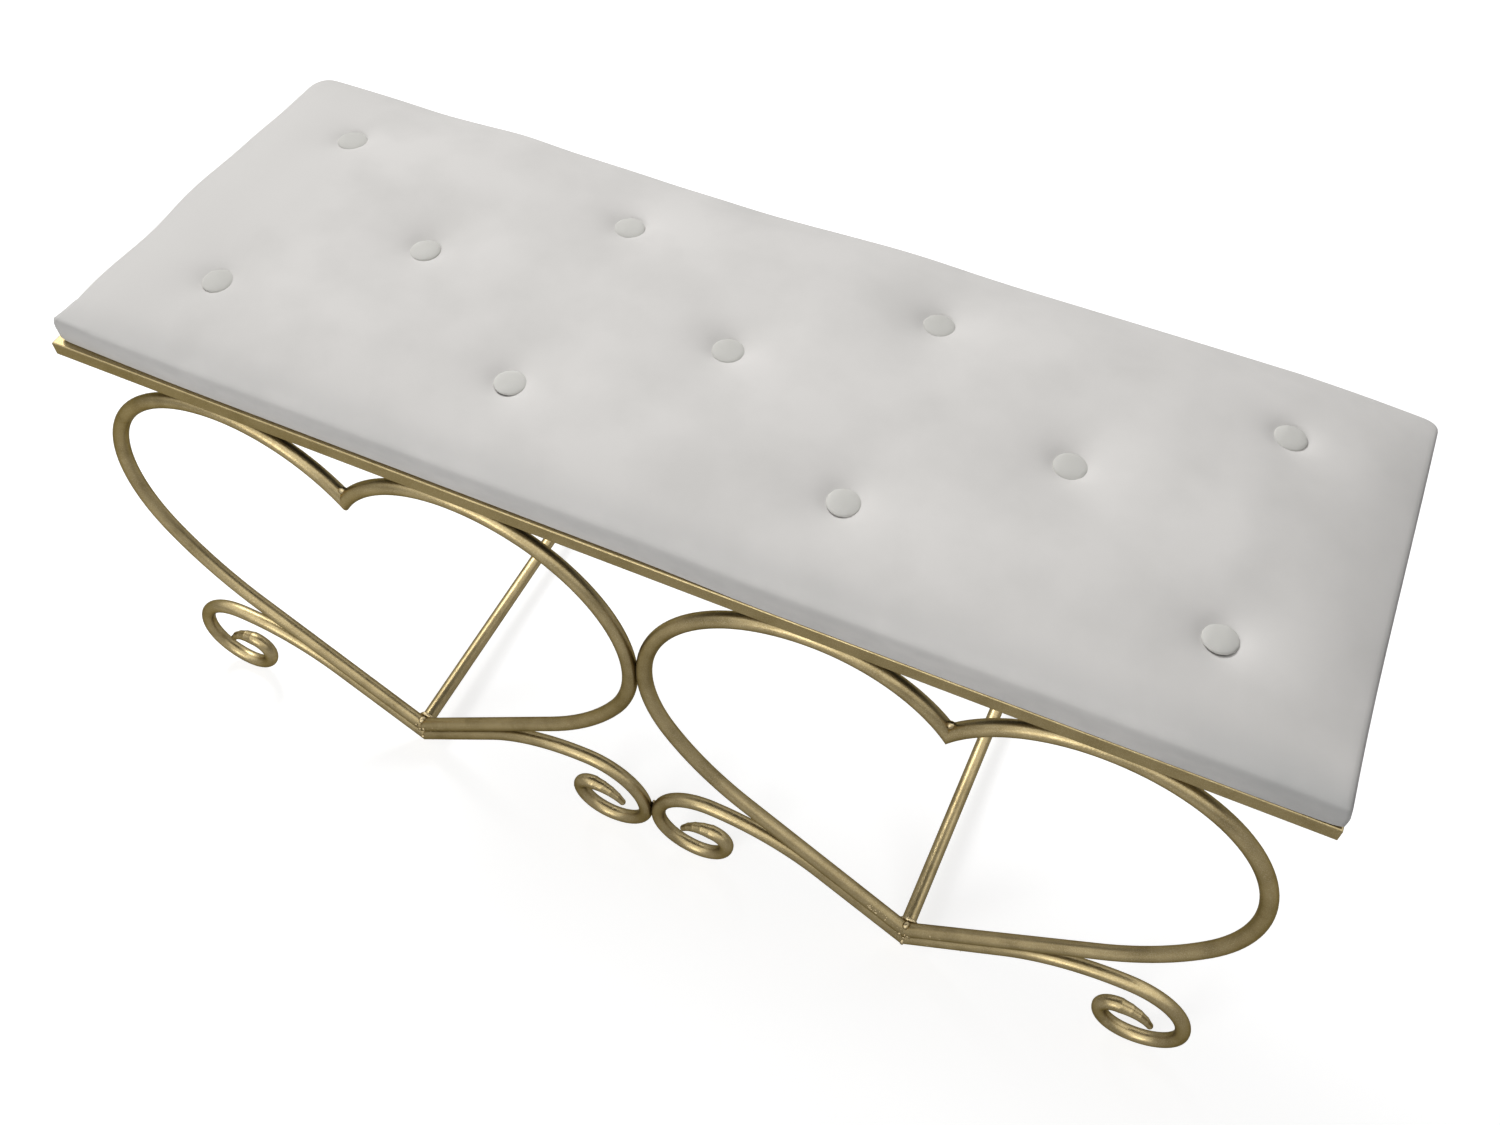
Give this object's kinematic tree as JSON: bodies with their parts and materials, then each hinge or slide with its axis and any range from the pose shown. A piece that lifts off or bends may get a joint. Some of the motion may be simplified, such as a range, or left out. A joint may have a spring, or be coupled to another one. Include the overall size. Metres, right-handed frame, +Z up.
{
  "type": "upholstered bench",
  "caption": "Low backless bench: a long button-tufted seat pad on a gold frame of round rod, with open heart-shaped side panels standing on scrolled feet.",
  "frame": {"origin": "on the floor under the middle of the bench", "axes": "+X along the bench to its right end, -Y to the front panel, +Z up"},
  "size_m": [1, 0.3602, 0.4865],
  "materials": {
    "gold_paint": "satin metallic antique gold paint, slightly mottled",
    "seat_fabric": "smooth matt off-white upholstery cloth",
    "button_fabric": "the same cloth drawn over a button",
    "foam": "open-cell cushion foam",
    "board_wood": "raw plywood",
    "dust_cloth": "black non-woven cloth",
    "zinc": "bright zinc plate",
    "twine": "waxed tufting twine"
  },
  "bodies": {
    "root": {"front_rail": "gold_paint", "back_rail": "gold_paint", "left_rail": "gold_paint", "right_rail": "gold_paint", "heart_front_left_outer": "gold_paint", "heart_front_left_inner": "gold_paint", "heart_front_right_inner": "gold_paint", "heart_front_right_outer": "gold_paint", "heart_back_left_outer": "gold_paint", "heart_back_left_inner": "gold_paint", "heart_back_right_inner": "gold_paint", "heart_back_right_outer": "gold_paint", "foot_front_left_outer": "gold_paint", "foot_front_left_inner": "gold_paint", "foot_front_right_inner": "gold_paint", "foot_front_right_outer": "gold_paint", "foot_back_left_outer": "gold_paint", "foot_back_left_inner": "gold_paint", "foot_back_right_inner": "gold_paint", "foot_back_right_outer": "gold_paint", "left_stretcher": "gold_paint", "right_stretcher": "gold_paint", "cleft_welds": "gold_paint", "tip_welds": "gold_paint", "lobe_welds": "gold_paint", "side_welds": "gold_paint", "flank_welds": "gold_paint", "stretcher_welds": "gold_paint", "tab_front_left": "gold_paint", "tab_front_middle": "gold_paint", "tab_front_right": "gold_paint", "tab_back_left": "gold_paint", "tab_back_middle": "gold_paint", "tab_back_right": "gold_paint", "seat_screws": "zinc", "seat_board": "board_wood", "foam_pad": "foam", "seat_cover": "seat_fabric", "dust_cover": "dust_cloth", "button_front_1": "button_fabric", "button_front_2": "button_fabric", "button_front_3": "button_fabric", "button_front_4": "button_fabric", "button_middle_1": "button_fabric", "button_middle_2": "button_fabric", "button_middle_3": "button_fabric", "button_back_1": "button_fabric", "button_back_2": "button_fabric", "button_back_3": "button_fabric", "button_back_4": "button_fabric", "tuft_twines": "twine", "twine_washers": "zinc"}
  },
  "joints": []
}
